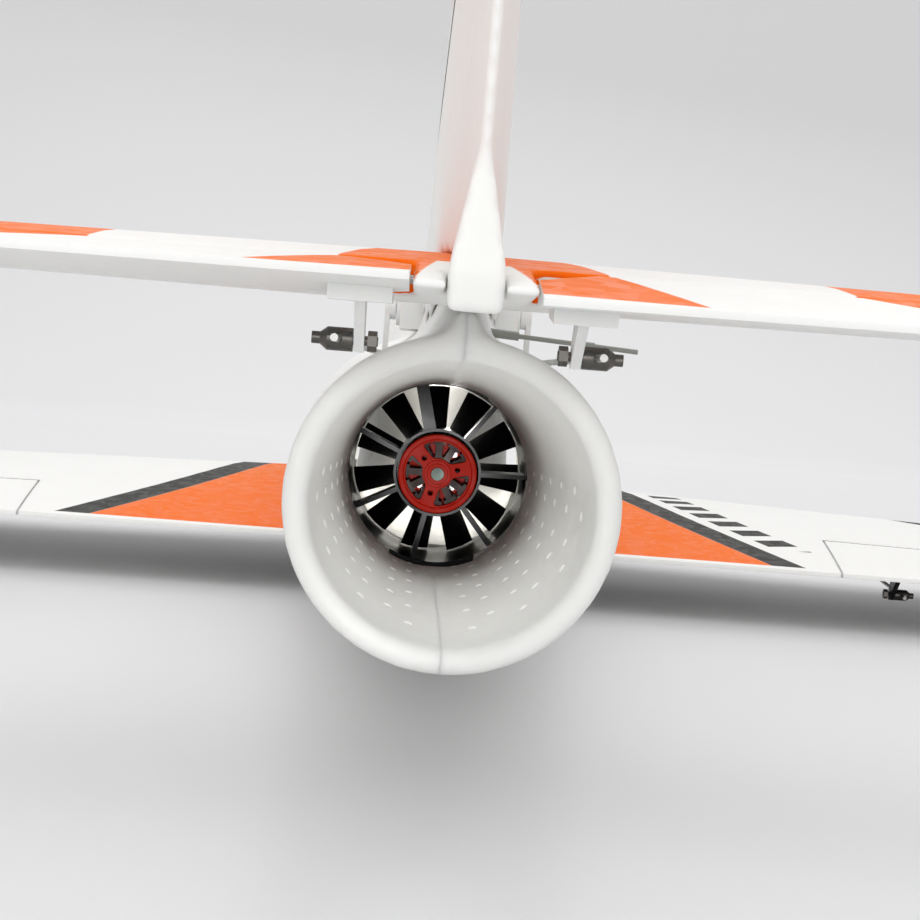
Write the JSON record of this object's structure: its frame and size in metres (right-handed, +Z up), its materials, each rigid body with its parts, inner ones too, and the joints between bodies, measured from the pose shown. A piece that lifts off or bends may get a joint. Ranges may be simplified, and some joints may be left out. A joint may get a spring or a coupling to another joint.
{
  "type": "radio-controlled ducted-fan jet",
  "caption": "Foam radio-controlled jet with a ducted fan, hinged ailerons and elevators driven by servos, rods and horns, and a lift-off canopy over the battery bay.",
  "frame": {"origin": "on the surface that the belly rests on, under the middle of the overall length and span", "axes": "+Y forward to the nose, +X to the right wing, +Z up"},
  "size_m": [0.898, 1.035, 0.248],
  "materials": {
    "foam": "moulded foam with a fine bead texture",
    "canopy_foam": "moulded foam, painted over",
    "smoked_clear": "smoked clear shell",
    "black_nylon": "glossy black glass-filled nylon",
    "white_nylon": "natural nylon",
    "red_anodised": "red anodised, fine turned",
    "steel": "plain steel",
    "black_steel": "black oxide",
    "nickel": "dark nickel plate",
    "magnet": "nickel plated magnets",
    "copper": "enamelled copper wire on a dark core",
    "carbon": "carbon tube",
    "wire_grey": "pale grey plastic tube",
    "white_case": "white servo case",
    "servo_blue": "translucent blue case",
    "wood_ply": "light plywood",
    "wrap_blue": "shrink wrap",
    "wrap_dark": "shrink wrap",
    "silicone": "silicone sleeve",
    "webbing": "woven hook-and-loop strap"
  },
  "bodies": {
    "airframe": {"fuselage_left": "foam", "fuselage_right": "foam", "fan_hatch": "foam", "hatch_screws": "black_steel", "clip_sockets": "white_nylon", "wing_left": "foam", "wing_right": "foam", "wing_spar": "carbon", "wing_bolts": "black_steel", "aileron_pins": "steel", "aileron_servo_left": "servo_blue", "aileron_servo_right": "servo_blue", "tailplane": "foam", "fin": "foam", "elevator_pins": "steel", "elevator_servo_left": "white_case", "elevator_servo_right": "white_case", "fan_housing": "black_nylon", "fan_lip": "black_nylon", "fan_mount_screws": "steel", "motor_windings": "copper", "motor_base": "red_anodised", "motor_bearings": "steel", "motor_screws": "steel", "motor_leads": "silicone", "esc": "wrap_blue", "receiver": "wrap_dark", "aerial_tube": "wire_grey", "battery": "wrap_blue", "battery_tray": "wood_ply", "battery_strap": "webbing"},
    "fan": {"fan_rotor": "black_nylon", "fan_spinner": "black_nylon", "motor_bell": "red_anodised", "motor_magnets": "magnet", "motor_shaft": "steel"},
    "canopy": {"canopy_frame": "canopy_foam", "canopy_glass": "smoked_clear", "canopy_clips": "white_nylon"},
    "aileron_left": {"aileron_left": "foam", "aileron_horn_left": "black_nylon"},
    "aileron_rod_left": {"aileron_rod_left": "steel", "aileron_barrel_left": "nickel"},
    "aileron_arm_left": {"aileron_servo_arm_left": "white_nylon"},
    "aileron_right": {"aileron_right": "foam", "aileron_horn_right": "black_nylon"},
    "aileron_rod_right": {"aileron_rod_right": "steel", "aileron_barrel_right": "nickel"},
    "aileron_arm_right": {"aileron_servo_arm_right": "white_nylon"},
    "elevator_left": {"elevator_left": "foam", "elevator_horn_left": "white_nylon"},
    "elevator_rod_left": {"elevator_rod_left": "steel", "elevator_barrel_left": "nickel"},
    "elevator_arm_left": {"elevator_servo_arm_left": "white_nylon"},
    "elevator_right": {"elevator_right": "foam", "elevator_horn_right": "white_nylon"},
    "elevator_rod_right": {"elevator_rod_right": "steel", "elevator_barrel_right": "nickel"},
    "elevator_arm_right": {"elevator_servo_arm_right": "white_nylon"}
  },
  "joints": [
    {"name": "fan_spin", "type": "hinge", "parent": "airframe", "child": "fan", "pos_m": [0, -0.0655, 0.0496], "axis": [0, 1, 0], "continuous": true},
    {"name": "canopy_lift", "type": "slide", "parent": "airframe", "child": "canopy", "axis": [0, 0, 1], "range_m": [0, 0.08]},
    {"name": "aileron_left_hinge", "type": "hinge", "parent": "airframe", "child": "aileron_left", "pos_m": [-0.166, -0.06443, 0.02519], "axis": [0.9977, 0.0679, 0.0041], "range_deg": [-22, 22]},
    {"name": "aileron_left_barrel", "type": "hinge", "parent": "aileron_left", "child": "aileron_rod_left", "pos_m": [-0.19587, -0.06647, 0.01107], "axis": [0.9977, 0.0679, 0.0041], "range_deg": [-23, 23]},
    {"name": "aileron_left_servo", "type": "hinge", "parent": "airframe", "child": "aileron_arm_left", "pos_m": [-0.20015, -0.00461, 0.02727], "axis": [0.9977, 0.0679, 0.0041], "range_deg": [-23, 23]},
    {"name": "aileron_right_hinge", "type": "hinge", "parent": "airframe", "child": "aileron_right", "pos_m": [0.166, -0.06443, 0.02519], "axis": [0.9977, -0.0679, -0.0041], "range_deg": [-22, 22]},
    {"name": "aileron_right_barrel", "type": "hinge", "parent": "aileron_right", "child": "aileron_rod_right", "pos_m": [0.19587, -0.06647, 0.01107], "axis": [0.9977, -0.0679, -0.0041], "range_deg": [-23, 23]},
    {"name": "aileron_right_servo", "type": "hinge", "parent": "airframe", "child": "aileron_arm_right", "pos_m": [0.20015, -0.00461, 0.02727], "axis": [0.9977, -0.0679, -0.0041], "range_deg": [-23, 23]},
    {"name": "elevator_left_hinge", "type": "hinge", "parent": "airframe", "child": "elevator_left", "pos_m": [-0.086, -0.4695, 0.105], "axis": [1, 0, 0], "range_deg": [-18, 22]},
    {"name": "elevator_left_barrel", "type": "hinge", "parent": "elevator_left", "child": "elevator_rod_left", "pos_m": [-0.021, -0.46906, 0.09251], "axis": [1, 0, 0], "range_deg": [-23, 19]},
    {"name": "elevator_left_servo", "type": "hinge", "parent": "airframe", "child": "elevator_arm_left", "pos_m": [-0.0172, -0.3205, 0.105], "axis": [1, 0, 0], "range_deg": [-19, 23]},
    {"name": "elevator_right_hinge", "type": "hinge", "parent": "airframe", "child": "elevator_right", "pos_m": [0.086, -0.4695, 0.105], "axis": [1, 0, 0], "range_deg": [-23, 17]},
    {"name": "elevator_right_barrel", "type": "hinge", "parent": "elevator_right", "child": "elevator_rod_right", "pos_m": [0.021, -0.46798, 0.09259], "axis": [1, 0, 0], "range_deg": [-18, 24]},
    {"name": "elevator_right_servo", "type": "hinge", "parent": "airframe", "child": "elevator_arm_right", "pos_m": [0.0172, -0.3205, 0.105], "axis": [1, 0, 0], "range_deg": [-24, 18]}
  ],
  "couplings": [
    {"joint": "aileron_left_barrel", "follows": "aileron_left_hinge", "ratio": -1},
    {"joint": "aileron_left_servo", "follows": "aileron_left_hinge", "ratio": 1},
    {"joint": "aileron_right_barrel", "follows": "aileron_right_hinge", "ratio": -1},
    {"joint": "aileron_right_servo", "follows": "aileron_right_hinge", "ratio": 1},
    {"joint": "elevator_left_barrel", "follows": "elevator_left_hinge", "ratio": -1},
    {"joint": "elevator_left_servo", "follows": "elevator_left_hinge", "ratio": 1},
    {"joint": "elevator_right_barrel", "follows": "elevator_right_hinge", "ratio": -1},
    {"joint": "elevator_right_servo", "follows": "elevator_right_hinge", "ratio": 1}
  ]
}
